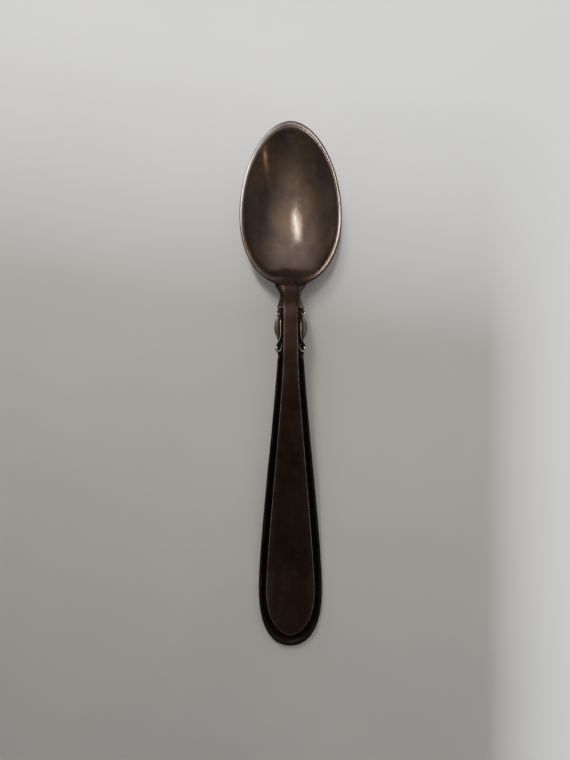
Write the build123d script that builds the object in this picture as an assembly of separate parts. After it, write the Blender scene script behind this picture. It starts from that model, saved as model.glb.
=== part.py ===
from build123d import *
from math import cos, radians, sin
import os

# A small bar and cafe spoon, struck from one blank of silver: an egg-shaped bowl, a narrow neck,
# and a handle that widens to a rounded end. Both shoulders carry a leaf between two scrolls, and a
# raised panel runs down the handle inside a sunk groove and an outer thread.
# Millimetres. The bowl's tip points along +Y, +Z is up, and the spoon lies on z = 0.

# Overall sizes
LENGTH = 125.0           # bowl tip to handle end
BOWL_WIDTH = 23.8
HANDLE_WIDTH = 15.3      # at the widest place, near the end
BOWL_HEIGHT = 7.0        # rim above the table, at the bowl's widest place
ARCH_HEIGHT = 9.6        # top of the shoulder above the table

# Bowl
BOWL_FRONT = 22.1        # widest place to the tip
BOWL_BACK = 16.8         # widest place to the back of the rim
FRONT_FULLNESS = 1.9     # exponent of the outline, 2 is an ellipse
BACK_FULLNESS = 2.2
RIM_WIDTH = 0.8          # flat rim at the sides
TIP_RIM_WIDTH = 1.3
BACK_LAND = 2.6          # where the hollow dies out before the neck
WALL = 0.9               # thickness of the bowl's bottom
RIM_TILT = 2.4           # degrees, the tip lies lower than the back
RIM_SLOPE = 30           # degrees, how far the wall leans out at the rim
WEAR_FLAT = 0.16         # worn away where the bowl stands on the table

# Neck and shoulders
NECK_LENGTH = 5.4        # back of the rim to the ledge
NECK_WIDTH = 4.9
LEDGE_WIDTH = 6.3
SHOULDER_LENGTH = 11.7   # ledge to the foot of the lower scroll
LEAF_WIDTH = 7.5         # over both leaves
WAIST_WIDTH = 6.2        # between leaf and lower scroll
SCROLL_WIDTH = 7.4       # over both lower scrolls
SCROLL_BALL = 0.55       # radius of a scroll's rolled end
RELIEF = 0.12            # leaf and scrolls stand above the panel by this
PANEL_GAP = 0.15         # between the panel and the ornament beside it
SET_BACK = 0.03          # ornament inside the shoulder's own outline

# Handle
STEM_WIDTH = 6.15        # just under the scrolls
PANEL_WIDTH = 11.75      # at the widest place
PANEL_STEM_WIDTH = 3.2   # between the shoulders
GROOVE_DEPTH = 0.5
THREAD_SHARE = 0.5       # part of the border taken by the outer thread
END_THICKNESS = 1.9
NECK_THICKNESS = 3.2
HEEL_DEPTH = 0.78         # share of the bowl's height that the heel reaches down
FOOT_LENGTH = 16.5       # last stretch of the handle, lying flat on the table

# Places along the spoon
TIP = LENGTH / 2
END = -LENGTH / 2
BOWL_CENTRE = TIP - BOWL_FRONT
BOWL_REAR = BOWL_CENTRE - BOWL_BACK
LEDGE = BOWL_REAR - NECK_LENGTH
STEM_TOP = LEDGE - SHOULDER_LENGTH
STEM_LENGTH = STEM_TOP - END
FOOT_END = END + FOOT_LENGTH
HALF = HANDLE_WIDTH / 2


def rim_height(y):
    return BOWL_HEIGHT - (y - BOWL_CENTRE) * sin(radians(RIM_TILT))


def top_line(lift):
    """Side view of the handle's top, from the end to the back of the bowl, raised by lift."""
    rise = ARCH_HEIGHT - END_THICKNESS
    arch = [
        (FOOT_END, END_THICKNESS),
        (FOOT_END + 0.24 * (LEDGE - FOOT_END), END_THICKNESS + 0.24 * rise),
        (FOOT_END + 0.52 * (LEDGE - FOOT_END), END_THICKNESS + 0.63 * rise),
        (FOOT_END + 0.76 * (LEDGE - FOOT_END), END_THICKNESS + 0.91 * rise),
        (LEDGE - 5, ARCH_HEIGHT),
        (LEDGE, ARCH_HEIGHT - 0.2),
        (BOWL_REAR, rim_height(BOWL_REAR) - 0.03),
        (BOWL_CENTRE, rim_height(BOWL_CENTRE) - 0.5),
    ]
    foot = Line((END - 2, END_THICKNESS + lift), (FOOT_END, END_THICKNESS + lift))
    slope = (BOWL_CENTRE - BOWL_REAR, -0.5)
    return [foot, Spline([(y, z + lift) for y, z in arch], tangents=[(1, 0), slope])]


def underside_line():
    """Side view of the handle's underside, ending inside the bowl under the heel."""
    arch = [
        (FOOT_END, 0),
        (FOOT_END + 0.27 * (LEDGE - FOOT_END), 0.21 * ARCH_HEIGHT),
        (FOOT_END + 0.6 * (LEDGE - FOOT_END), 0.58 * ARCH_HEIGHT),
        (LEDGE - 3, ARCH_HEIGHT - NECK_THICKNESS + 0.2),
        (LEDGE + 2.5, ARCH_HEIGHT - NECK_THICKNESS - 0.4),
        (BOWL_REAR + 2, rim_height(BOWL_REAR) - 0.6 * HEEL_DEPTH * BOWL_HEIGHT),
        (BOWL_REAR + 6, rim_height(BOWL_REAR) - 0.96 * HEEL_DEPTH * BOWL_HEIGHT),
        (BOWL_REAR + 8, rim_height(BOWL_REAR) - HEEL_DEPTH * BOWL_HEIGHT),
    ]
    return [Line((END - 2, 0), (FOOT_END, 0)), Spline(arch, tangents=[(1, 0), (1, 0)])]


def band(upper, lower):
    """A wide slab between two side-view lines."""
    outer = [line.edge() for line in upper + lower]
    front = Line(upper[1] @ 1, lower[1] @ 1)
    rear = Line(upper[0] @ 0, lower[0] @ 0)
    profile = make_face(Wire.combine(outer + [front.edge(), rear.edge()])[0])
    return extrude(Plane.YZ * profile, BOWL_WIDTH, both=True)


def column(face):
    """A plan-view face drawn up through the whole spoon."""
    return extrude(Pos(0, 0, -5) * face, 5 + 2 * ARCH_HEIGHT)


def outline(right_side):
    """A closed plan outline, mirrored from its right side, with a straight upper end."""
    left_side = [(-x, y) for x, y in reversed(right_side[:-1])]
    curve = Spline(right_side + left_side)
    return make_face(Wire([curve.edge(), Line(curve @ 1, curve @ 0).edge()]))


def stem_outline(shoulder, widths):
    """Shoulder points, then the stem's half widths at its stations, down to the rounded end."""
    stations = (1, 0.797, 0.52, 0.303, 0.196)
    stem = [(w, END + f * STEM_LENGTH) for f, w in zip(stations, widths)]
    return shoulder + stem


def handle_face():
    shoulder = [
        (LEDGE_WIDTH / 2, LEDGE),
        (LEAF_WIDTH / 2, LEDGE - 0.37 * SHOULDER_LENGTH),
        (WAIST_WIDTH / 2, LEDGE - 0.6 * SHOULDER_LENGTH),
        (SCROLL_WIDTH / 2, LEDGE - 0.79 * SHOULDER_LENGTH),
    ]
    stem = (STEM_WIDTH / 2, 0.54 * HALF, 0.786 * HALF, 0.952 * HALF, HALF)
    rounded_end = [(0.884 * HALF, END + 6.4), (0.415 * HALF, END + 1.5), (0, END)]
    return outline(stem_outline(shoulder, stem) + rounded_end)


def panel_half(share):
    """Half widths of the panel, or of the groove around it, down the stem."""
    panel = (0.29, 0.45, 0.725, 0.931, 1)
    rim = (STEM_WIDTH / PANEL_WIDTH, 0.703, 1.024, 1.239, HANDLE_WIDTH / PANEL_WIDTH)
    return [PANEL_WIDTH / 2 * (p + share * (r - p)) for p, r in zip(panel, rim)]


def panel_face():
    shoulder = [(PANEL_STEM_WIDTH / 2, LEDGE), (PANEL_STEM_WIDTH / 2, LEDGE - 5)]
    w = PANEL_WIDTH / 2
    rounded_end = [(0.79 * w, END + 6.4), (0.446 * w, END + 4), (0, END + 2.8)]
    return outline(stem_outline(shoulder, panel_half(0)) + rounded_end)


def groove_face():
    """The sunk ground: all of the shoulder, then a groove between the panel and the thread."""
    share = 1 - THREAD_SHARE
    halves = panel_half(share)
    shoulder = [(halves[0], LEDGE + 1)]
    w = PANEL_WIDTH / 2
    rounded_end = [(0.97 * w, END + 6.4), (0.5 * w, END + 2.5), (0, END + 1.4)]
    stem = outline(stem_outline(shoulder, halves) + rounded_end)
    length = LEDGE + 1 - STEM_TOP
    ground = Pos(0, STEM_TOP + length / 2) * Rectangle(BOWL_WIDTH, length)
    return stem + ground


def scroll_face():
    """Right shoulder: upper scroll, leaf, and the ribbon that rolls into the lower scroll."""
    inner = PANEL_STEM_WIDTH / 2 + PANEL_GAP
    leaf_y = LEDGE - 0.37 * SHOULDER_LENGTH
    leaf_edge = Spline(
        (inner, LEDGE - 1.4),
        (LEDGE_WIDTH / 2 + 0.15, LEDGE - 2.2),
        (LEAF_WIDTH / 2 - SET_BACK, leaf_y),
        (WAIST_WIDTH / 2 - 0.2, leaf_y - 2.4),
        (inner, leaf_y - 3.4),
    )
    leaf = make_face(Wire([leaf_edge.edge(), Line(leaf_edge @ 1, leaf_edge @ 0).edge()]))
    ball_y = LEDGE - 0.79 * SHOULDER_LENGTH
    ball_x = SCROLL_WIDTH / 2 - SCROLL_BALL - SET_BACK
    foot = (ball_x, ball_y - 1.3)
    ribbon = make_face(Wire([
        Line((inner, leaf_y - 1), (inner, ball_y + 0.4)).edge(),
        Spline((inner, ball_y + 0.4), (inner + 0.3, ball_y - 0.8), foot).edge(),
        Line(foot, (ball_x, ball_y)).edge(),
        Spline((ball_x, ball_y), (inner + 0.7, ball_y + 0.7), (inner + 0.6, leaf_y - 1)).edge(),
        Line((inner + 0.6, leaf_y - 1), (inner, leaf_y - 1)).edge(),
    ]))
    upper = Pos(inner + SCROLL_BALL + 0.3, LEDGE - 1.1) * Circle(SCROLL_BALL)
    lower = Pos(ball_x, ball_y) * Circle(SCROLL_BALL)
    return leaf + ribbon + upper + lower


def egg(front, back, half_width, scale, depth):
    """The bowl's outline at one depth: two half superellipses that meet at the widest place."""
    points = []
    for turn in range(0, 360, 18):
        s, c = sin(radians(turn)), cos(radians(turn))
        power = 2 / (FRONT_FULLNESS if s > 0 else BACK_FULLNESS)
        reach = front if s > 0 else back
        x = half_width * abs(c) ** power * (1 if c > 0 else -1)
        y = reach * abs(s) ** power * (1 if s > 0 else -1)
        points.append((x * scale, y * scale))
    return Pos(0, 0, -depth) * make_face(Spline(points, periodic=True).edge())


def bowl_block(front, back, half_width, depth):
    """A solid egg, full at the rim and closing to a small flat at its depth."""
    levels = (RIM_SLOPE, 34, 48, 62, 75, 84)
    low, high = sin(radians(levels[0])), sin(radians(levels[-1]))
    faces = []
    for a in levels:
        scale = cos(radians(a)) / cos(radians(levels[0]))
        faces.append(egg(front, back, half_width, scale, depth * (sin(radians(a)) - low) / (high - low)))
    return Pos(0, BOWL_CENTRE, BOWL_HEIGHT) * Rot(-RIM_TILT, 0, 0) * loft(faces)


def bowl_outside():
    return bowl_block(BOWL_FRONT, BOWL_BACK, BOWL_WIDTH / 2, BOWL_HEIGHT + WEAR_FLAT)


def bowl():
    half_width = BOWL_WIDTH / 2 - RIM_WIDTH
    hollow = bowl_block(BOWL_FRONT - TIP_RIM_WIDTH, BOWL_BACK - BACK_LAND, half_width, BOWL_HEIGHT - WALL)
    return split(bowl_outside() - hollow, bisect_by=Plane.XY, keep=Keep.TOP)


def neck():
    """Neck with the heel that runs out under the bowl, cut back to the bowl's outside."""
    half = NECK_WIDTH / 2
    right = [
        (LEDGE_WIDTH / 2, LEDGE),
        (half, LEDGE + 0.53 * NECK_LENGTH),
        (half + 0.35, BOWL_REAR - 0.5),
        (half + 1.9, BOWL_REAR + 0.9),
        (half + 1.3, BOWL_REAR + 3.5),
        (half - 0.2, BOWL_REAR + 5.6),
        (0, BOWL_REAR + 7),
    ]
    block = column(outline(right)) & band(top_line(0), underside_line())
    return block - bowl_outside()


def handle():
    block = column(handle_face()) & band(top_line(0), underside_line())
    return block - (column(groove_face()) & band(top_line(2), top_line(-GROOVE_DEPTH)))


def panel():
    return column(panel_face()) & band(top_line(0), top_line(-GROOVE_DEPTH))


def scroll():
    return column(scroll_face()) & band(top_line(RELIEF), top_line(-GROOVE_DEPTH))


os.makedirs("parts", exist_ok=True)
right_scroll = scroll()
pieces = {
    "bowl": bowl(),
    "neck": neck(),
    "handle": handle(),
    "panel": panel(),
    "scroll_right": right_scroll,
    "scroll_left": mirror(right_scroll, about=Plane.YZ),
}
for name, piece in pieces.items():
    solids = piece.solids()
    box = piece.bounding_box()
    print(name, len(solids), "solid,", round(sum(s.volume for s in solids), 2), "mm3", box.min, box.max)
    export_step(solids[0], f"parts/{name}.step")
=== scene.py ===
# %% [markdown]
# # A tarnished silver spoon, modelled and finished in Blender
# The CAD model of the spoon is loaded first and stays as it is: it gives every place and size.
# The real spoon is one piece struck from one blank, so each piece made here follows one zone of
# that blank, and the CAD nodes of that zone are hidden.

# %% Load the frame
from math import acos, atan2, cos, degrees, pi, radians, sin

import bmesh
import bpy
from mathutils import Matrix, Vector
from mathutils.geometry import interpolate_bezier


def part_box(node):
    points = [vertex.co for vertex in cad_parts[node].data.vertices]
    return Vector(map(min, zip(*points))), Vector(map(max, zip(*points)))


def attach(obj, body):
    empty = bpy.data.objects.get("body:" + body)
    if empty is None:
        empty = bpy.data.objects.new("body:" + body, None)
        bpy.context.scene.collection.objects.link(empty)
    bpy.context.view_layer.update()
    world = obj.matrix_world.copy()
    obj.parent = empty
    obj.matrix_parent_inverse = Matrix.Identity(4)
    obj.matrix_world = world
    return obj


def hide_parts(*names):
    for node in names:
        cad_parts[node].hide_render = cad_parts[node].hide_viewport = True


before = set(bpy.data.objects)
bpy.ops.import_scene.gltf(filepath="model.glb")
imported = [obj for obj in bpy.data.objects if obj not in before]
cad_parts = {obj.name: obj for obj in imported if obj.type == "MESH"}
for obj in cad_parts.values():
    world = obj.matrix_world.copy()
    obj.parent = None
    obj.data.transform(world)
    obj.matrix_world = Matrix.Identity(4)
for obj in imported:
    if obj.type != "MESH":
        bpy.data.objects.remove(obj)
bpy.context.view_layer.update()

MM = 0.001

# %% [markdown]
# Blender works in metres, but a spoon is easier to think of in millimetres. The places are read
# from the CAD nodes' boxes once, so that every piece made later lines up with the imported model:
# the bowl's tip and back, the ledge where the neck ends, and the handle's end.

# %% Places along the spoon
bowl_low, bowl_high = (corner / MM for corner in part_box("bowl"))
handle_low, handle_high = (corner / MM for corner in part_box("handle"))
panel_low, panel_high = (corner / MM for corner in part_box("panel"))
neck_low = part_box("neck")[0] / MM

TIP, BACK, BOWL_HALF = bowl_high.y, bowl_low.y, bowl_high.x
LEDGE, END = neck_low.y, handle_low.y
HANDLE_HALF, PANEL_HALF, PANEL_END = handle_high.x, panel_high.x, panel_low.y
WIDEST = TIP - 22.1          # the bowl's widest place
STEM_TOP = LEDGE - 11.7      # foot of the lower scrolls
SWELL = END + 13.7           # the handle's widest place
FOOT_END = END + 16.5        # the last stretch lies flat on the table
print("ledge, stem top, widest handle, mm:", round(LEDGE, 2), round(STEM_TOP, 2), round(SWELL, 2))

# %% [markdown]
# Seen from the side, the handle lies flat at its foot, arches up to the shoulders and runs down to
# the back of the bowl. A draughtsman would bend a steel rule through a few points. The same is
# done here with a Hermite curve: each stretch leaves and meets its points with a shared slope.

# %% A smooth line through a few heights
def through(points, y):
    """Height at y of a smooth line through (y, height) points, level beyond both ends."""
    if y <= points[0][0]:
        return points[0][1]
    if y >= points[-1][0]:
        return points[-1][1]
    i = max(k for k in range(len(points) - 1) if points[k][0] <= y)

    def slope(k):
        if k == 0:
            return 0.0
        a, b = points[k - 1], points[min(k + 1, len(points) - 1)]
        return (b[1] - a[1]) / (b[0] - a[0])

    (y0, z0), (y1, z1) = points[i], points[i + 1]
    t, span = (y - y0) / (y1 - y0), y1 - y0
    ends = (2 * t**3 - 3 * t**2 + 1) * z0 + (3 * t**2 - 2 * t**3) * z1
    slopes = (t**3 - 2 * t**2 + t) * slope(i) + (t**3 - t**2) * slope(i + 1)
    return ends + slopes * span


# %% [markdown]
# Two such lines draw the side view. The top line rises from the thin foot to the arch over the
# shoulders and drops to the rim. The underside climbs a little less, so the metal is thickest at
# the shoulders, where a spoon is bent hardest in use.

# %% The spoon's side view
RIM_HEIGHT, RIM_TILT = 7.0, radians(2.4)
END_THICKNESS, ARCH = 1.9, 9.6
REACH, RISE = LEDGE - FOOT_END, ARCH - END_THICKNESS


def rim_z(y):
    """The rim lies in one plane, a little lower at the tip."""
    return RIM_HEIGHT - (y - WIDEST) * sin(RIM_TILT)


TOP_LINE = [
    (FOOT_END, END_THICKNESS),
    (FOOT_END + 0.24 * REACH, END_THICKNESS + 0.24 * RISE),
    (FOOT_END + 0.52 * REACH, END_THICKNESS + 0.63 * RISE),
    (FOOT_END + 0.76 * REACH, END_THICKNESS + 0.91 * RISE),
    (LEDGE - 5, ARCH),
    (LEDGE, ARCH - 0.2),
    (BACK, rim_z(BACK)),
    (WIDEST, rim_z(WIDEST)),
]
UNDERSIDE_LINE = [
    (FOOT_END, 0.0),
    (FOOT_END + 0.27 * REACH, 0.21 * ARCH),
    (FOOT_END + 0.6 * REACH, 0.58 * ARCH),
    (LEDGE - 3, ARCH - 3.0),
    (LEDGE + 2.5, ARCH - 3.6),
]


def top_z(y):
    return through(TOP_LINE, y)


def underside_z(y):
    return through(UNDERSIDE_LINE, y)


print("highest place on top, mm:", round(max(top_z(END + k) for k in range(80)), 2))

# %% [markdown]
# Every piece is drawn in millimetres as a bmesh and handed over by one function. It scales the
# mesh to metres, smooths the shading, gives the finish and, if asked, adds a Subdivision Surface,
# which rounds a coarse cage. The object itself stays at the origin, as the CAD nodes do.

# %% Hand over a finished piece
def finished(bm, name, material, levels=0):
    """Turns the bmesh, drawn in millimetres, into an object that rides on the spoon."""
    bmesh.ops.remove_doubles(bm, verts=bm.verts, dist=0.001)
    bmesh.ops.recalc_face_normals(bm, faces=bm.faces)
    bmesh.ops.scale(bm, vec=(MM, MM, MM), verts=bm.verts)
    mesh = bpy.data.meshes.new(name)
    bm.to_mesh(mesh)
    bm.free()
    mesh.shade_smooth()
    mesh.materials.append(material)
    piece = bpy.data.objects.new(name, mesh)
    bpy.context.scene.collection.objects.link(piece)
    if levels:
        rounding = piece.modifiers.new("rounding", "SUBSURF")
        rounding.levels = levels
        rounding.render_levels = levels
    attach(piece, "root")
    print(name, len(mesh.polygons), "faces before rounding")
    return piece


# %% [markdown]
# ## The finish
# Silver that is never polished turns yellow, then brown, then nearly black, and goes bright again
# only where hands and tables rub it. So one recipe makes every finish here: a metal whose colour
# drifts between tarnish tones in soft clouds, with bright metal and black laid over it where the
# mesh says so. The bright metal is wear and also painted highlight, the black is grime and also
# painted shade. First come small helpers for the nodes used again and again.

# %% Node helpers
def texture(nodes, links, vector, scale, detail=3.0, roughness=0.55):
    noise = nodes.new("ShaderNodeTexNoise")
    noise.inputs["Scale"].default_value = scale
    noise.inputs["Detail"].default_value = detail
    noise.inputs["Roughness"].default_value = roughness
    links.new(vector, noise.inputs["Vector"])
    return noise.outputs["Fac"]


def ramp(nodes, links, value, start, stop, low=0.0, high=1.0):
    """Spreads the values between start and stop smoothly over low to high."""
    spread = nodes.new("ShaderNodeMapRange")
    spread.interpolation_type = "SMOOTHSTEP"
    limits = {"From Min": start, "From Max": stop, "To Min": low, "To Max": high}
    for socket, number in limits.items():
        spread.inputs[socket].default_value = number
    links.new(value, spread.inputs["Value"])
    return spread.outputs["Result"]


def blend(nodes, links, share, under, over):
    """Lays the colour over on the colour under. Either is a link or three numbers."""
    mix = nodes.new("ShaderNodeMix")
    mix.data_type = "RGBA"
    links.new(share, mix.inputs["Factor"])
    for value, socket in ((under, mix.inputs[6]), (over, mix.inputs[7])):
        if isinstance(value, tuple):
            socket.default_value = (*value, 1)
        else:
            links.new(value, socket)
    return mix.outputs[2]


def combine(nodes, links, operation, a, b):
    """A Math node. Each of a and b is a link or a number."""
    node = nodes.new("ShaderNodeMath")
    node.operation = operation
    for value, socket in zip((a, b), node.inputs):
        if isinstance(value, float):
            socket.default_value = value
        else:
            links.new(value, socket)
    return node.outputs[0]


# %% [markdown]
# Fine scratches come from noise that is stretched until its blobs are long thin lines, and turned
# to lie at an angle. Only the very top of the noise is kept, so that most of the surface has none.

# %% Scratches
def stretched(nodes, links, place, turn, along):
    """Coordinates in which noise is drawn out into lines. A small share along makes them long."""
    mapping = nodes.new("ShaderNodeMapping")
    mapping.inputs["Rotation"].default_value = (0, 0, radians(turn))
    mapping.inputs["Scale"].default_value = (1.0, along, 1.0)
    links.new(place, mapping.inputs["Vector"])
    return mapping.outputs["Vector"]


def scratches(nodes, links, place):
    lines = None
    for turn, scale in ((14, 5200), (-38, 4400), (71, 6000)):
        noise = texture(nodes, links, stretched(nodes, links, place, turn, 0.05), scale, 2.0)
        thin = ramp(nodes, links, noise, 0.66, 0.74)
        lines = thin if lines is None else combine(nodes, links, "MAXIMUM", lines, thin)
    return lines


# %% [markdown]
# The recipe. Two vertex attributes steer it: the first is 1 where the tarnish is rubbed through and
# where a highlight is painted, the second is 1 where black has settled and where shade is painted.
# Both are broken up by noise, because nothing wears evenly. The roughness follows the patches, the
# bright metal is smoother, and the bump is only thousandths of a millimetre: brush lines along the
# spoon, and shallow pits.

# %% Tarnished silver
# Bare silver, for wear and for painted highlights, and black, for grime and for painted shade.
WORN_AND_HIGHLIGHT = (0.55, 0.53, 0.5)
BLACK = (0.012, 0.008, 0.007)


def tarnished_silver(name, dark, brown, glow, rough, mottling):
    """Dark and brown are the two tarnish tones, glow the thin tarnish that blooms on them."""
    material = bpy.data.materials.new(name)
    material.use_nodes = True
    nodes, links = material.node_tree.nodes, material.node_tree.links
    shader = nodes["Principled BSDF"]
    shader.inputs["Metallic"].default_value = 1.0
    place = nodes.new("ShaderNodeTexCoord").outputs["Object"]
    clouds = texture(nodes, links, place, 120, 4.0)
    patches = texture(nodes, links, place, 460, 5.0, 0.65)
    grain = texture(nodes, links, place, 2400, 3.0, 0.6)
    brushed = texture(nodes, links, stretched(nodes, links, place, 0, 0.08), 5200, 3.0)
    lines = scratches(nodes, links, place)

    colour = blend(nodes, links, ramp(nodes, links, clouds, 0.36, 0.64), dark, brown)
    bloom = ramp(nodes, links, patches, 0.5, 0.74, 0.0, mottling)
    colour = blend(nodes, links, bloom, colour, glow)
    colour = blend(nodes, links, combine(nodes, links, "MULTIPLY", lines, 0.02), colour, WORN_AND_HIGHLIGHT)

    # The first attribute carries wear and painted highlights, the second grime and painted shade.
    wear_and_highlight, grime_and_shade = nodes.new("ShaderNodeAttribute"), nodes.new("ShaderNodeAttribute")
    wear_and_highlight.attribute_name, grime_and_shade.attribute_name = "wear_and_highlight", "grime_and_shade"
    uneven_wear_and_highlight = ramp(nodes, links, patches, 0.3, 0.62, 0.6, 1.0)
    rubbed_and_lit = combine(nodes, links, "MULTIPLY", wear_and_highlight.outputs["Fac"], uneven_wear_and_highlight)
    colour = blend(nodes, links, rubbed_and_lit, colour, WORN_AND_HIGHLIGHT)
    uneven_grime_and_shade = ramp(nodes, links, patches, 0.3, 0.6, 0.93, 1.0)
    settled_and_shaded = combine(nodes, links, "MULTIPLY", grime_and_shade.outputs["Fac"], uneven_grime_and_shade)
    colour = blend(nodes, links, settled_and_shaded, colour, BLACK)
    links.new(colour, shader.inputs["Base Color"])

    matt = ramp(nodes, links, patches, 0.3, 0.7, rough, rough + 0.12)
    matt = combine(nodes, links, "SUBTRACT", matt, combine(nodes, links, "MULTIPLY", rubbed_and_lit, 0.1))
    matt = combine(nodes, links, "ADD", matt, combine(nodes, links, "MULTIPLY", settled_and_shaded, 0.12))
    links.new(matt, shader.inputs["Roughness"])

    relief = combine(nodes, links, "ADD", brushed, combine(nodes, links, "MULTIPLY", grain, 1.4))
    relief = combine(nodes, links, "SUBTRACT", relief, combine(nodes, links, "MULTIPLY", lines, 0.12))
    relief = combine(nodes, links, "MULTIPLY", relief, ramp(nodes, links, rubbed_and_lit, 0.0, 1.0, 1.0, 0.25))
    bump = nodes.new("ShaderNodeBump")
    bump.inputs["Strength"].default_value = 0.18
    bump.inputs["Distance"].default_value = 0.006 * MM
    links.new(relief, bump.inputs["Height"])
    links.new(bump.outputs["Normal"], shader.inputs["Normal"])
    return material


# %% [markdown]
# The bowl keeps a brown glow. The panel is darker and even, the handle's border nearly black, and
# the struck ornament lies between, with wear and painted highlights on its ridges. These darker
# tones are partly tarnish and partly painted shade, for the darker reflection the handle shows.

# %% Four finishes from one recipe
BOWL_SILVER = tarnished_silver(
    "bowl_silver", (0.118, 0.09, 0.085), (0.178, 0.132, 0.094), (0.25, 0.16, 0.125), 0.11, 0.5)
BORDER_SILVER = tarnished_silver(
    "handle_silver", (0.012, 0.009, 0.009), (0.022, 0.017, 0.016), (0.034, 0.027, 0.025), 0.3, 0.4)
PANEL_SILVER = tarnished_silver(
    "panel_silver", (0.036, 0.021, 0.018), (0.048, 0.03, 0.023), (0.062, 0.04, 0.034), 0.26, 0.4)
ORNAMENT_SILVER = tarnished_silver(
    "ornament_silver", (0.03, 0.02, 0.017), (0.055, 0.04, 0.033), (0.075, 0.054, 0.045), 0.26, 0.5)
print("finishes:", [m.name for m in bpy.data.materials if m.name.endswith("_silver")])

# %% [markdown]
# ## The bowl
# From above, a bowl is an egg. Two half superellipses that share one width draw it well: near the
# tip the exponent is a little under 2, which sharpens the egg, and at the back a little over.
# Directions are counted from the tip towards the right. Close to the neck the flat rim widens
# into a land, where the hollow dies out.

# %% The egg-shaped outline
FRONT_POWER, BACK_POWER = 2 / 1.9, 2 / 2.2
EVEN_REACH = 18.4     # the smallest rings reach as far forward as back
RIM_WIDTH, TIP_GAIN, LAND_GAIN = 0.8, 0.45, 1.15
EDGE_GAIN = 0.09      # the rounding draws the cage in by about this much
NECK_CORE = 6         # degrees on either side of the neck's middle


def egg(turn, inset, scale=1.0):
    """A point of the outline, moved in by inset and measured from the widest place.

    Towards scale 0 the egg turns into a plain ellipse, so that the bottom has no crease.
    """
    c, s = cos(turn), sin(turn)
    power = 1 + ((FRONT_POWER if c > 0 else BACK_POWER) - 1) * scale * scale
    reach = (TIP - WIDEST if c > 0 else WIDEST - BACK) - inset
    reach = EVEN_REACH + (reach - EVEN_REACH) * scale * scale
    x = (BOWL_HALF - inset) * abs(s) ** power * (1 if s > 0 else -1)
    y = reach * abs(c) ** power * (1 if c > 0 else -1)
    return x, y


def toward_neck(turn, spread=27):
    """1 where the neck leaves, falling smoothly to 0 at spread degrees from its middle."""
    off_neck = 180 - abs(degrees(turn))
    t = min(1.0, max(0.0, (spread - off_neck) / (spread - NECK_CORE)))
    return t * t * (3 - 2 * t)


def rim_width(turn):
    return RIM_WIDTH + TIP_GAIN * max(0.0, cos(turn)) ** 4 + LAND_GAIN * toward_neck(turn)


# %% [markdown]
# In section the outside of the bowl is part of a sphere, squeezed to its depth, whose wall still
# leans out by 30 degrees at the rim. The inside is a gentler parabola, which mirrors a window as
# one clean streak. Both say how deep the metal lies where the outline has shrunk to a share of
# its size.

# %% Inside, outside and rim
RIM_LEAN = radians(30)
FLOOR_THICKNESS = 0.9


def inside(turn, scale):
    x, y = egg(turn, rim_width(turn), scale)
    y = WIDEST + y * scale
    return Vector((x * scale, y, rim_z(y) - (RIM_HEIGHT - FLOOR_THICKNESS) * (1 - scale * scale)))


def outside(turn, scale, drop=0.0):
    x, y = egg(turn, -EDGE_GAIN, scale)
    y = WIDEST + y * scale
    lean = acos(min(1.0, scale * cos(RIM_LEAN)))
    sunk = (RIM_HEIGHT + 0.05) * (sin(lean) - sin(RIM_LEAN)) / (1 - sin(RIM_LEAN))
    return Vector((x * scale, y, max(0.0, rim_z(y) - sunk - drop)))


def rim(turn, share, drop):
    """Share 1 is the rim's inner edge, 0 its outer edge."""
    x, y = egg(turn, rim_width(turn) * share - EDGE_GAIN)
    y = WIDEST + y
    return Vector((x, y, rim_z(y) - drop * (1 - toward_neck(turn))))


# %% [markdown]
# A disc of four-sided faces keeps the bottom of the bowl smooth, where a fan of triangles would
# pinch at its middle. It starts as a square grid, and each point of the square is moved onto the
# matching point of a disc. The disc's edge then has a direction for every later ring. The few
# points that face the neck are numbered by column, so that the neck can be grown from there.

# %% The bottom of the bowl
CAP = 0.6            # the disc reaches this share of the way to the rim
DARKER_TIP = 0.34    # how much darker the inside grows at the tip


def tip_darkening(y):
    """The inside grows darker towards the tip."""
    return DARKER_TIP * min(1.0, max(0.0, (y - WIDEST - 6) / 12))


bm = bmesh.new()
wear_and_highlight = bm.verts.layers.float.new("wear_and_highlight")
grime_and_shade = bm.verts.layers.float.new("grime_and_shade")
column = bm.verts.layers.int.new("column")
row = bm.verts.layers.int.new("row")
bmesh.ops.create_grid(bm, x_segments=12, y_segments=12, size=1.0)
disc_edge = [e for e in bm.edges if e.is_boundary]
disc_edge_verts = {v for e in disc_edge for v in e.verts}


def as_disc(u, v):
    """Distance and direction of a square's point once the square is rounded into a disc."""
    x, y = u * (1 - v * v / 2) ** 0.5, v * (1 - u * u / 2) ** 0.5
    return (x * x + y * y) ** 0.5, atan2(x, y)


square = {v: (v.co.x, v.co.y) for v in bm.verts}
turns = {}
for v, (across, along) in square.items():
    distance, turn = as_disc(across, along)
    v.co = inside(turn, distance * CAP)
    v[grime_and_shade] = tip_darkening(v.co.y)
    if v in disc_edge_verts:
        turns[v] = turn
        if along < -0.999 and abs(across) < 0.4:
            v[column] = round(across * 6) + 10
print("bottom of the bowl:", len(bm.faces), "faces,", len(disc_edge), "edges around")

# %% [markdown]
# The wall is grown ring by ring, as a smith raises a bowl course by course: the last ring's edges
# are extruded, and the new ones moved to their place for the direction they lie in. Wear and grime
# are written on the way, with painted highlights and painted shade. The rim is rounded across,
# because a sharp one would be worn round in a few years, and a rounded one catches the window as a
# thin bright line. The rim is also painted bright, most on the left of the tip and where the bowl
# is widest on the right: partly wear, and partly a painted highlight where the window's line falls.
# Towards the neck and along the lower sides, the inner wall under the rim and the rim itself are
# darkened: painted shade, and partly grime on the rim.

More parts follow.
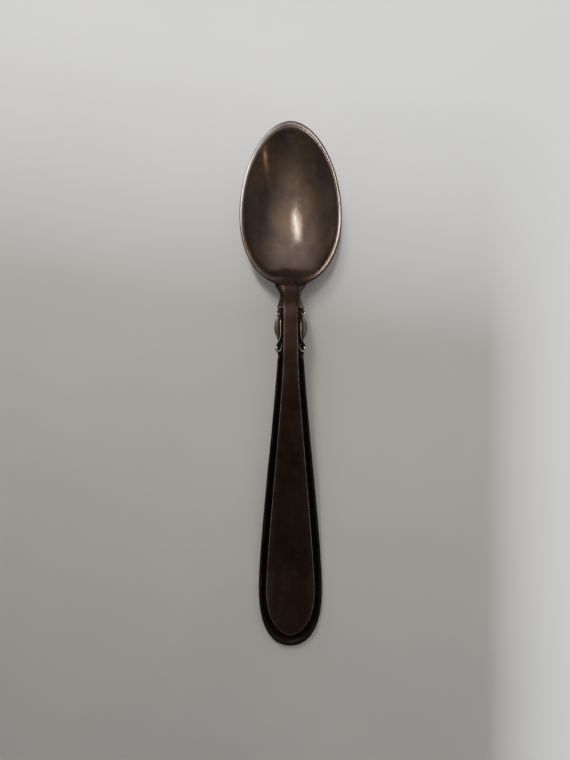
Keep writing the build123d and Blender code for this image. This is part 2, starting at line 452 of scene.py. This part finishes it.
# %% Grow the wall and the rim
# Darkening of the neck and of the land before it: partly grime, partly painted shade.
NECK_GRIME_AND_SHADE, LAND_GRIME_AND_SHADE = 0.92, 0.99
# How strongly the wall under the rim and the rim are darkened, painted shade and partly grime,
# for degrees from the tip on either side.
SHADE_AND_GRIME_BY_SIDE = ((0, 1.0), (85, 1.0), (115, 2.0), (155, 2.0), (172, 1.0))
# How bright the rim is painted, partly wear and partly painted highlight, for directions in
# degrees from the tip towards the right.
RIM_WEAR_AND_HIGHLIGHT = (
    (-180, 0.0),
    (-140, 0.0),
    (-105, 0.0),
    (-90, 0.4),
    (-76, 1.2),
    (-40, 1.5),
    (-14, 0.5),
    (12, 0.32),
    (40, 0.15),
    (80, 0.2),
    (98, 1.3),
    (112, 0.15),
    (150, 0.1),
    (180, 0.1),
)


def grow(ring, place, worn_and_lit=0.0, black=0.0, neck_share=1.0, spread=27, row_number=0):
    """Extrudes a ring of edges and returns the next one, with wear, painted highlight, grime and
    painted shade as asked.
    """
    made = bmesh.ops.extrude_edge_only(bm, edges=ring)["geom"]
    edges = [g for g in made if isinstance(g, bmesh.types.BMEdge) and g.is_boundary]
    fresh = {}
    for v in (g for g in made if isinstance(g, bmesh.types.BMVert)):
        old = next(e.other_vert(v) for e in v.link_edges if e.other_vert(v) in turns)
        fresh[v] = turn = turns[old]
        v.co = place(turn)
        v[column], v[row] = old[column], row_number
        # Wear and painted highlight, stronger in some directions round the rim.
        v[wear_and_highlight] = worn_and_lit * (1 - toward_neck(turn)) * through(RIM_WEAR_AND_HIGHLIGHT, degrees(turn))
        # Darkening by side: painted shade under the rim, and partly grime on the rim.
        gathered_and_shaded = black * through(SHADE_AND_GRIME_BY_SIDE, abs(degrees(turn)))
        v[grime_and_shade] = max(gathered_and_shaded, LAND_GRIME_AND_SHADE * neck_share * toward_neck(turn, spread))
    turns.clear()
    turns.update(fresh)
    return edges


# Share of the outline, painted shade under the rim, and share of the neck's grime and shade.
WALL_RINGS = ((0.72, 0, 0), (0.82, 0, 0), (0.9, 0, 0.1), (0.955, 0.1, 0.22), (0.985, 0.3, 0.5))
# Share of the rim's width, drop, wear and painted highlight, grime and painted shade, and how far
# the darkening spreads from the neck.
RIM_ROUNDING = (
    (1.0, 0.13, 0.1, 0.1, 60),
    (0.9, 0.06, 0.4, 0.1, 60),
    (0.7, 0.01, 0.6, 0.1, 60),
    (0.5, 0.0, 0.58, 0.15, 55),
    (0.3, 0.03, 0.4, 0.22, 50),
    (0.12, 0.1, 0.15, 0.3, 40),
    (0.02, 0.22, 0.0, 0.35, 36),
)
ring = disc_edge
for scale, black, neck_share in WALL_RINGS:
    ring = grow(ring, lambda turn: inside(turn, scale), 0.0, black, neck_share)
    for v in turns:
        v[grime_and_shade] = max(v[grime_and_shade], tip_darkening(v.co.y))
for share, drop, worn_and_lit, black, spread in RIM_ROUNDING:
    ring = grow(ring, lambda turn: rim(turn, share, drop), worn_and_lit, black, spread=spread)
ring = grow(ring, lambda turn: outside(turn, 1.0, 0.55 * (1 - toward_neck(turn))), 0.1, row_number=1)
for number, scale in enumerate((0.97, 0.93, 0.87, 0.79, 0.7)):
    ring = grow(ring, lambda turn: outside(turn, scale), neck_share=0.6, row_number=number + 2)
print("inside, rim and outside:", len(bm.faces), "faces")

# %% [markdown]
# The underside is closed with a copy of the bottom's grid, moved to the outside of the metal and
# bridged to the last ring. Where the neck will leave, a patch of four by four faces is picked, and
# its upper corners are pulled out and back, so that the rim runs on into the neck.

# %% Close the underside
CORNER_WIDENING, CORNER_SHIFT = 1.06, 0.22
cap_faces = [f for f in bm.faces if all(v in square for v in f.verts)]
copy = bmesh.ops.duplicate(bm, geom=cap_faces)
came_from = {copy["vert_map"][v]: v for v in square}
for v, original in came_from.items():
    if isinstance(v, bmesh.types.BMVert):
        distance, turn = as_disc(*square[original])
        v.co = outside(turn, distance * CAP)
        v[column] = 0
under = [g for g in copy["geom"] if isinstance(g, bmesh.types.BMFace)]
under_border = {e for f in under for e in f.edges if e.is_boundary}
bmesh.ops.bridge_loops(bm, edges=ring + list(under_border))
root = [f for f in bm.faces if all(v[column] and v[row] in range(1, 6) for v in f.verts)]
for v in {v for f in root for v in f.verts if abs(v[column] - 10) == 2 and v[row] <= 2}:
    v.co.x *= CORNER_WIDENING
    v.co.y -= CORNER_SHIFT
print("neck starts from", len(root), "faces")

# %% [markdown]
# ## The neck
# The neck grows out of that patch in short lengths. Each new section is placed by its row and
# column in the patch: a flat top as wide as the panel, a chamfer on each side, and a rounded
# underside. The first sections are bowed, so that the rim's line flows into the neck's chamfer.
# The neck ends in a ledge. The neck is darkened, partly grime and partly painted shade. The
# ledge's lip is painted bright, partly wear and partly a painted highlight along its rounded edge,
# and the right chamfer is painted lighter than the left one: painted light and shade.

# %% Grow the neck
NECK_FLAT = 1.56
NECK_HALF = [
    (LEDGE, 3.17),
    (LEDGE + 1.5, 2.75),
    (LEDGE + 3.0, 2.47),
    (LEDGE + 4.0, 2.6),
    (LEDGE + 5.0, 3.2),
    (LEDGE + 5.65, 3.95),
    (LEDGE + 6.3, 4.9),
]
# How the five rows of the patch lie in each section, from the top down.
SIDE_SHARE = (0.98, 1.0, 0.99, 0.9, 0.6)
SIDE_DEPTH = (0.5, 0.95, 1.6, 2.3, 2.95)
MIDDLE_DEPTH = (0.0, 0.9, 1.6, 2.3, 3.0)
# Where the sections stand, and how far they are bowed.
NECK_RINGS = (
    (BACK - 0.75, 0.24),
    (BACK - 1.5, 0.08),
    (BACK - 2.4, 0.0),
    (BACK - 3.5, 0.0),
    (LEDGE + 1.1, 0.0),
    (LEDGE + 0.4, 0.0),
    (LEDGE + 0.08, 0.0),
    (LEDGE, 0.0),
)


def neck_point(across, down, y, bow):
    y += bow * across * across
    half = through(NECK_HALF, y)
    if abs(across) == 2:
        x, depth = SIDE_SHARE[down] * half, SIDE_DEPTH[down]
    else:
        x, depth = abs(across) * (NECK_FLAT - 0.22 * down), MIDDLE_DEPTH[down]
    return Vector((x if across > 0 else -x, y, top_z(y) - depth))


for y, bow in NECK_RINGS:
    made = bmesh.ops.extrude_face_region(bm, geom=root)["geom"]
    bmesh.ops.delete(bm, geom=root, context="FACES")
    root = [g for g in made if isinstance(g, bmesh.types.BMFace)]
    for v in (g for g in made if isinstance(g, bmesh.types.BMVert)):
        side, down = v[column] - 10, v[row] - 1
        v.co = neck_point(side, down, y, bow)
        on_chamfer = abs(side) == 2 and down == 0
        at_lip = y < LEDGE + 0.2
        # Darkened all over: partly grime, partly painted shade.
        v[wear_and_highlight], v[grime_and_shade] = 0.0, NECK_GRIME_AND_SHADE
        # Painted highlight on the lip, painted light on the right chamfer and painted shade on the left
        # one.
        if on_chamfer:
            v[wear_and_highlight] = 0.6 if at_lip else 0.12 if side > 0 else 0.0
            v[grime_and_shade] = 0.0 if at_lip or side > 0 else 0.7
bmesh.ops.inset_region(bm, faces=root, thickness=0.12, depth=0)
crease = bm.edges.layers.float.new("crease_edge")
for e in bm.edges:
    a, b = e.verts
    if a[column] == b[column] and a[column] in (9, 11) and a[row] == b[row] == 1:
        e[crease] = 0.5
bowl = finished(bm, "bowl_and_neck", BOWL_SILVER, levels=3)
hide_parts("bowl", "neck")

# %% [markdown]
# ## The handle
# The handle's outline is three stretches: the shoulder with its three swellings, the stem that
# widens in one long Bezier sweep, and the rounded end. The panel's edge runs inside it, with the
# same number of stations, so that the two can be joined point by point.

# %% Outlines of handle and panel
SHOULDER_STEPS, STEM_STEPS, END_STEPS = 34, 60, 34


def bezier(steps, *handles):
    points = interpolate_bezier(*(Vector((*p, 0)) for p in handles), steps + 1)
    return [(p.x, p.y) for p in points]


def swelling(y, centre, reach):
    """A soft bump of height 1 that ends at reach on both sides of its centre."""
    return cos(pi / 2 * min(1.0, abs(y - centre) / reach)) ** 2


def shoulder_half(y):
    by_upper_scroll = 0.32 * swelling(y, LEDGE - 1.2, 0.9)
    by_leaf = 0.65 * swelling(y, LEDGE - 4.2, 2.9)
    by_lower_scroll = 0.55 * swelling(y, LEDGE - 9.1, 1.6)
    return 2.92 + by_upper_scroll + by_leaf + by_lower_scroll


def rounded_end(half, end, down, across):
    """From the widest place to the middle of the end, with its two handles as shares."""
    return bezier(
        END_STEPS, (half, SWELL), (half, SWELL - down * (SWELL - end)), (across * half, end), (0, end))


shoulder_ys = [LEDGE - (LEDGE - STEM_TOP) * k / SHOULDER_STEPS for k in range(SHOULDER_STEPS)]
SWEEP = SWELL + 10.8     # the sweep's lower handle
stem = bezier(
    STEM_STEPS, (3.04, STEM_TOP), (4.1, STEM_TOP - 16), (HANDLE_HALF, SWEEP), (HANDLE_HALF, SWELL))
stem_panel = bezier(
    STEM_STEPS, (1.72, STEM_TOP), (2.2, STEM_TOP - 12), (PANEL_HALF - 0.25, SWEEP), (PANEL_HALF, SWELL))
OUTER = [(shoulder_half(y), y) for y in shoulder_ys] + stem[:-1]
OUTER += rounded_end(HANDLE_HALF, END, 0.8, 0.46)
PANEL_EDGE = [(1.6 + 0.12 * (LEDGE - y) / (LEDGE - STEM_TOP), y) for y in shoulder_ys]
PANEL_EDGE += stem_panel[:-1]
PANEL_EDGE += rounded_end(PANEL_HALF, PANEL_END, 0.82, 0.28)
MIDDLE = [(0, max(y, PANEL_END + 0.9 * PANEL_HALF)) for x, y in PANEL_EDGE]
print("stations down one side of the handle:", len(OUTER))

# %% [markdown]
# A handle like this is struck between two dies, and every line of it runs round in a U: the edge,
# the thread, the groove. So it is made as a grid whose rows are U-shaped tracks, each with its own
# height, wear and grime. Going through the tracks from the middle of the underside, round the
# edge and in over the thread to the groove gives the whole section at once.

# %% Sweep nested tracks into a closed skin
def both_sides(half):
    """From the right shoulder round the end to the left shoulder."""
    return half + [(-x, y) for x, y in reversed(half[:-1])]


def between(a, b, share):
    """The path that lies at a share of the way from path a to path b."""
    return [(p[0] + share * (q[0] - p[0]), p[1] + share * (q[1] - p[1])) for p, q in zip(a, b)]


def swept(tracks):
    """Tracks are (path, height function, wear and painted highlight, grime and painted shade), from the
    lowest to the top one.
    """
    bm = bmesh.new()
    wear_and_highlight = bm.verts.layers.float.new("wear_and_highlight")
    grime_and_shade = bm.verts.layers.float.new("grime_and_shade")
    stations = len(both_sides(tracks[0][0])) - 1
    bmesh.ops.create_grid(bm, x_segments=stations, y_segments=len(tracks) - 1, size=1.0)
    for v in bm.verts:
        station = round((v.co.x + 1) / 2 * stations)
        path, height, worn_and_lit, black = tracks[round((v.co.y + 1) / 2 * (len(tracks) - 1))]
        x, y = both_sides(path)[station]
        v.co = (x, y, height(y))
        v[wear_and_highlight], v[grime_and_shade] = worn_and_lit, black
    bmesh.ops.remove_doubles(bm, verts=bm.verts, dist=0.0005)
    bmesh.ops.holes_fill(bm, edges=[e for e in bm.edges if e.is_boundary], sides=0)
    return bm


# %% [markdown]
# The thread only stands up along the stem and round the end. On the shoulder its place is taken by
# the ornament, so there the whole border drops to the sunk ground, and its flanks are black too.

# %% The handle
GROUND = 0.5            # depth of the sunk ground below the handle's top
FLANK_GRIME = 0.8


def on_stem(y):
    """0 on the shoulder's sunk ground, 1 where the thread stands up."""
    t = min(1.0, max(0.0, (STEM_TOP + 1.0 - y) / 0.9))
    return t * t * (3 - 2 * t)


def thread(drop):
    return lambda y: top_z(y) - GROUND + (GROUND - drop) * on_stem(y)


def ground(y):
    return top_z(y) - GROUND


def underside(lift):
    return lambda y: underside_z(y) + lift


def in_border(share):
    """0 is the handle's edge, 1 the panel's."""
    return between(OUTER, PANEL_EDGE, share)


handle_tracks = [
    (MIDDLE, underside(0), 0, 0),
    (between(OUTER, MIDDLE, 0.5), underside(0), 0, 0),
    (between(OUTER, MIDDLE, 0.1), underside(0.02), 0, 0),
    (between(OUTER, MIDDLE, 0.02), underside(0.16), 0.12, 0),
    (OUTER, underside(0.5), 0, 0),
    (OUTER, thread(0.6), 0, 0.2),
    (in_border(0.03), thread(0.34), 0, 0.2),
    (in_border(0.1), thread(0.14), 0.02, 0.1),
    (in_border(0.2), thread(0.04), 0.03, 0),
    (in_border(0.32), thread(0.04), 0.03, 0.1),
    (in_border(0.42), thread(0.14), 0, 0.5),
    (in_border(0.5), thread(0.42), 0, 0.9),
    (in_border(0.62), ground, 0, 1),
    (in_border(0.97), ground, 0, 1),
    (between(PANEL_EDGE, MIDDLE, 0.3), ground, 0, 1),
    (MIDDLE, ground, 0, 1),
]
bm = swept(handle_tracks)
grime_and_shade = bm.verts.layers.float["grime_and_shade"]
for v in bm.verts:
    if v.co.z > underside_z(v.co.y) + 0.6:
        v[grime_and_shade] = max(v[grime_and_shade], FLANK_GRIME * (1 - on_stem(v.co.y)))
handle = finished(bm, "handle_body", BORDER_SILVER)
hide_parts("handle")

# %% [markdown]
# ## The panel
# The panel stands in the groove like a low table with a softly broken edge. The edge is what a
# thumb and a cloth reach, and it is painted light: partly wear and partly a painted highlight. At
# the ledge the panel runs on over the neck and sinks into it, which hides the seam between the two
# pieces, and it is painted darker there, as painted shade by the ledge.

# %% The panel
OVERLAP = 1.6           # how far the panel runs on over the neck
# Painted shade on the panel by the ledge, and the length over which it fades.
LEDGE_SHADE, FADE = 0.55, 5.0
panel_path = [(1.6, LEDGE + OVERLAP), (1.6, LEDGE + OVERLAP / 2)] + PANEL_EDGE
panel_middle = [(0, LEDGE + OVERLAP), (0, LEDGE + OVERLAP / 2)] + MIDDLE


def panel_top(drop):
    def height(y):
        sinking = max(0.0, (y - LEDGE) / OVERLAP)
        return top_z(y) + 0.03 - drop - 0.1 * sinking
    return height


def panel_inset(amount):
    """The panel's edge moved in by a fixed amount, sideways on the stem and endways at the end."""
    moved = []
    for x, y in panel_path:
        end_share = max(0.0, (SWELL - y) / (SWELL - PANEL_END))
        moved.append((max(0.0, x - amount * (1 - end_share**3)), y + amount * end_share**2))
    return moved


FLOOR_DROP = GROUND + 0.1
panel_tracks = [
    (panel_middle, panel_top(FLOOR_DROP), 0, 1),
    (between(panel_path, panel_middle, 0.3), panel_top(FLOOR_DROP), 0, 1),
    (panel_path, panel_top(FLOOR_DROP), 0, 1),
    (panel_path, panel_top(0.22), 0, 0.7),
    # The broken edge: wear and a painted highlight.
    (panel_inset(0.03), panel_top(0.09), 0.6, 0),
    (panel_inset(0.11), panel_top(0.02), 0.8, 0),
    (panel_inset(0.2), panel_top(0.0), 0.03, 0),
    (between(panel_path, panel_middle, 0.35), panel_top(0.0), 0, 0),
    (between(panel_path, panel_middle, 0.7), panel_top(0.0), 0, 0),
    (panel_middle, panel_top(0.0), 0, 0),
]
bm = swept(panel_tracks)
grime_and_shade = bm.verts.layers.float["grime_and_shade"]
# Painted shade, darker towards the ledge.
for v in bm.verts:
    by_ledge = min(1.0, max(0.0, (v.co.y - LEDGE + FADE) / FADE))
    v[grime_and_shade] = max(v[grime_and_shade], LEDGE_SHADE * by_ledge)
panel = finished(bm, "raised_panel", PANEL_SILVER)
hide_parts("panel")

# %% [markdown]
# ## The shoulder ornament
# On each shoulder a leaf lies between two scrolls. The scrolls and the ribbon are strips that roll
# up at their ends: curves with a round bevel whose radius swells where the strip rolls. They are
# turned into meshes at once, so that all of them share one mesh with the leaf.

# %% Rolled strips
# Each point is a place, with its height above the ornament's middle, and the strip's radius there.
STRIPS = {
    "upper_scroll": [
        ((2.5, LEDGE - 0.9, 0.0), 0.04),
        ((2.55, LEDGE - 1.4, 0.14), 0.14),
        ((2.9, LEDGE - 1.7, 0.18), 0.22),
        ((3.26, LEDGE - 1.45, 0.2), 0.33),
        ((3.28, LEDGE - 1.1, 0.2), 0.34),
        ((3.2, LEDGE - 0.85, 0.14), 0.18),
        ((3.17, LEDGE - 0.75, 0.1), 0.03),
    ],
    "ribbon": [
        ((2.3, LEDGE - 2.1, -0.1), 0.03),
        ((2.32, LEDGE - 3.4, 0.2), 0.13),
        ((2.3, LEDGE - 5.2, 0.2), 0.13),
        ((2.3, LEDGE - 6.5, 0.18), 0.12),
        ((2.7, LEDGE - 7.5, 0.15), 0.12),
        ((3.2, LEDGE - 8.3, 0.1), 0.06),
    ],
    "lower_scroll": [
        ((2.1, LEDGE - 8.0, 0.0), 0.05),
        ((2.05, LEDGE - 8.9, 0.05), 0.1),
        ((2.3, LEDGE - 9.75, 0.08), 0.15),
        ((2.9, LEDGE - 9.95, 0.08), 0.2),
        ((3.35, LEDGE - 9.6, 0.06), 0.32),
        ((3.25, LEDGE - 9.15, 0.06), 0.42),
        ((3.1, LEDGE - 8.85, 0.06), 0.3),
        ((3.05, LEDGE - 8.75, 0.06), 0.04),
    ],
}


def strip_mesh(points):
    curve = bpy.data.curves.new("strip", "CURVE")
    curve.dimensions = "3D"
    curve.bevel_depth = 1.0
    curve.bevel_resolution = 4
    curve.use_fill_caps = True
    spline = curve.splines.new("NURBS")
    spline.points.add(len(points) - 1)
    for point, (place, radius) in zip(spline.points, points):
        point.co = (*place, 1)
        point.radius = radius
    spline.order_u = 4
    spline.use_endpoint_u = True
    spline.resolution_u = 8
    holder = bpy.data.objects.new("strip", curve)
    mesh = bpy.data.meshes.new_from_object(holder)
    bpy.data.objects.remove(holder)
    bpy.data.curves.remove(curve)
    return mesh


# %% [markdown]
# The leaf is a sphere pressed into shape: nearly straight on the side of the panel, bulging
# outwards, pointed at both ends, with a soft rib along its middle that is painted a little
# brighter: partly wear and partly a painted highlight.

# %% The leaf
LEAF_CENTRE, LEAF_REACH = LEDGE - 4.5, 2.9


def press_leaf(bm, wear_and_highlight):
    sphere = bmesh.ops.create_uvsphere(bm, u_segments=32, v_segments=32, radius=1.0)["verts"]
    for v in sphere:
        x, up, along = v.co
        girth = max(0.001, 1 - along * along) ** 0.5
        x, up = x / girth, up / girth
        inner = 2.25 + 0.6 * max(0.0, along * along - 0.4)
        outer = 2.75 + 0.98 * (1 - along * along) ** 0.85
        rib = max(0.0, 1 - abs(x - 0.5) * 2.2)
        x = (inner + outer) / 2 + x * (outer - inner) / 2 * girth**0.35
        v.co = (x, LEAF_CENTRE + along * LEAF_REACH, up * (0.36 + 0.1 * rib) * girth**0.5)
        # The rib is painted brighter: wear and painted highlight.
        v[wear_and_highlight] = 0.3 * rib if up > 0 else 0.0


# %% [markdown]
# One function builds a whole shoulder: strips and leaf go into one mesh, are laid on the handle's
# arch, and are mirrored for the left side. The higher a place stands, the brighter it is painted:
# partly wear and partly a painted highlight on the ridges.

# %% One shoulder's ornament
STANDING = GROUND - 0.12    # how far the ornament's middle lies below the handle's top
RIDGE_HEIGHT = 0.42         # places this high above that middle get full wear and painted highlight


def shoulder_ornament(name, side):
    bm = bmesh.new()
    wear_and_highlight = bm.verts.layers.float.new("wear_and_highlight")
    for points in STRIPS.values():
        mesh = strip_mesh(points)
        bm.from_mesh(mesh)
        bpy.data.meshes.remove(mesh)
    # Brighter with height: wear and painted highlight.
    for v in bm.verts:
        v[wear_and_highlight] = max(0.0, min(1.0, v.co.z / RIDGE_HEIGHT))
    press_leaf(bm, wear_and_highlight)
    for v in bm.verts:
        v.co.z += top_z(v.co.y) - STANDING
        v.co.x *= side
    piece = finished(bm, name, ORNAMENT_SILVER)
    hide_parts("scroll_right" if side > 0 else "scroll_left")


shoulder_ornament("right_ornament", 1)
shoulder_ornament("left_ornament", -1)

# %% [markdown]
# ## The setting
# A pale table top, large enough that low views see no edge. It is matt, with the faint mottling of
# a wiped surface. It only shows the spoon off.

# %% Table top
TABLE_HALF = 6.0
table = bpy.data.materials.new("table_top")
table.use_nodes = True
nodes, links = table.node_tree.nodes, table.node_tree.links
place = nodes.new("ShaderNodeTexCoord").outputs["Object"]
smears = ramp(nodes, links, texture(nodes, links, place, 22, 4.0), 0.3, 0.7)
pale = blend(nodes, links, smears, (0.49, 0.486, 0.481), (0.53, 0.522, 0.514))
links.new(pale, nodes["Principled BSDF"].inputs["Base Color"])
nodes["Principled BSDF"].inputs["Roughness"].default_value = 0.6
bm = bmesh.new()
bmesh.ops.create_grid(bm, x_segments=1, y_segments=1, size=TABLE_HALF)
mesh = bpy.data.meshes.new("table_top")
bm.to_mesh(mesh)
bm.free()
mesh.materials.append(table)
table_top = bpy.data.objects.new("table_top", mesh)
bpy.context.scene.collection.objects.link(table_top)

# %% [markdown]
# Metal shows its surroundings more than its own colour, so the lights are chosen for what they
# look like in the silver. A narrow bright strip, on the left beyond the tip, draws the streak in the
# bowl and the thin line round the rim, and a wide faint haze behind it gives the streak its soft
# halo. A small warm lamp, far to the right, leaves one glint.

# %% Lights that the silver reflects
def area_light(name, place, size, radiance, colour, roll=0.0, target=(0, 0.04, 0)):
    """An area light that faces target. Its power follows from how bright it should look."""
    light = bpy.data.lights.new(name, "AREA")
    light.shape = "RECTANGLE"
    light.size, light.size_y = size
    light.energy = radiance * pi * size[0] * size[1]
    light.color = colour
    holder = bpy.data.objects.new(name, light)
    holder.location = place
    holder.rotation_euler = (Vector(target) - Vector(place)).to_track_quat("-Z", "Y").to_euler()
    holder.rotation_euler.rotate_axis("Z", radians(roll))
    bpy.context.scene.collection.objects.link(holder)
    print(name, "power, W:", round(light.energy, 3))
    return holder


area_light("strip_window", (-0.058, 0.145, 0.22), (0.011, 0.08), 72.0, (1.0, 0.92, 0.7), roll=-3)
area_light("window_haze", (-0.062, 0.15, 0.23), (0.08, 0.13), 2.7, (1.0, 0.94, 0.82), roll=-3)
area_light("warm_lamp", (0.474, -0.0355, 0.35), (0.04, 0.02), 6.0, (1.0, 0.74, 0.54))

# %% [markdown]
# The table needs more light than the silver should show. A ceiling light does that: it is
# switched off for reflections, so that it whitens the table and leaves the metal alone. A flag, a
# large card as studios use, hangs below it and shades the table round the handle. It is hidden from
# the camera and from reflections, and its front edge runs at a slant, as the shade does.

# %% Ceiling light and flag
ceiling = area_light(
    "ceiling", (-0.1, 0.16, 1.0), (0.12, 0.34), 172.0, (0.95, 0.98, 1.0), target=(-0.1, 0.16, 0))
ceiling.visible_glossy = False

FLAG_RIGHT, FLAG_FRONT, FLAG_HEIGHT, FLAG_REACH = 0.034, 0.0585, 0.16, 2.0
FLAG_SLANT = 0.17
bm = bmesh.new()
bmesh.ops.create_grid(bm, x_segments=1, y_segments=1, size=FLAG_REACH / 2)
middle = (FLAG_RIGHT - FLAG_REACH / 2, FLAG_FRONT - FLAG_REACH / 2, FLAG_HEIGHT)
bmesh.ops.translate(bm, vec=middle, verts=bm.verts)
for v in bm.verts:
    v.co.y -= FLAG_SLANT * (v.co.x - FLAG_RIGHT)
mesh = bpy.data.meshes.new("flag")
bm.to_mesh(mesh)
bm.free()
flag = bpy.data.objects.new("flag", mesh)
flag.visible_camera = False
flag.visible_glossy = False
bpy.context.scene.collection.objects.link(flag)

# %% [markdown]
# The rest of the room is a dim dome with a wide soft glow on the window's side and a paler band
# along the horizon. The glow gives the bowl its gradient from brown to nearly black, and the band
# lights its steep sides.

# %% World
GLOW_FROM = (-0.05, 0.6, 0.8)     # the direction that glows most
world = bpy.data.worlds.new("room")
world.use_nodes = True
nodes, links = world.node_tree.nodes, world.node_tree.links
direction = nodes.new("ShaderNodeTexCoord").outputs["Generated"]
toward_window = nodes.new("ShaderNodeVectorMath")
toward_window.operation = "DOT_PRODUCT"
toward_window.inputs[1].default_value = GLOW_FROM
links.new(direction, toward_window.inputs[0])
glow = ramp(nodes, links, toward_window.outputs["Value"], 0.42, 1.0, 0.27, 1.05)
height = nodes.new("ShaderNodeSeparateXYZ")
links.new(direction, height.inputs[0])
horizon = ramp(nodes, links, height.outputs["Z"], 0.15, 0.6, 0.05, 0.0)
links.new(combine(nodes, links, "ADD", glow, horizon), nodes["Background"].inputs["Strength"])
nodes["Background"].inputs["Color"].default_value = (1.0, 0.965, 0.935, 1)
bpy.context.scene.world = world

# %% [markdown]
# The camera is held above the middle of the spoon and looks straight down, close enough that the
# bowl and the shoulders, which lie higher than the handle's end, look a little larger.

# %% Camera
camera = bpy.data.cameras.new("camera")
camera.lens = 27.04
camera.sensor_width = 36
camera.clip_start = 0.01
eye = bpy.data.objects.new("camera", camera)
eye.location = (-1.3 * MM, 1.77 * MM, 139.42 * MM)
bpy.context.scene.collection.objects.link(eye)
bpy.context.scene.camera = eye
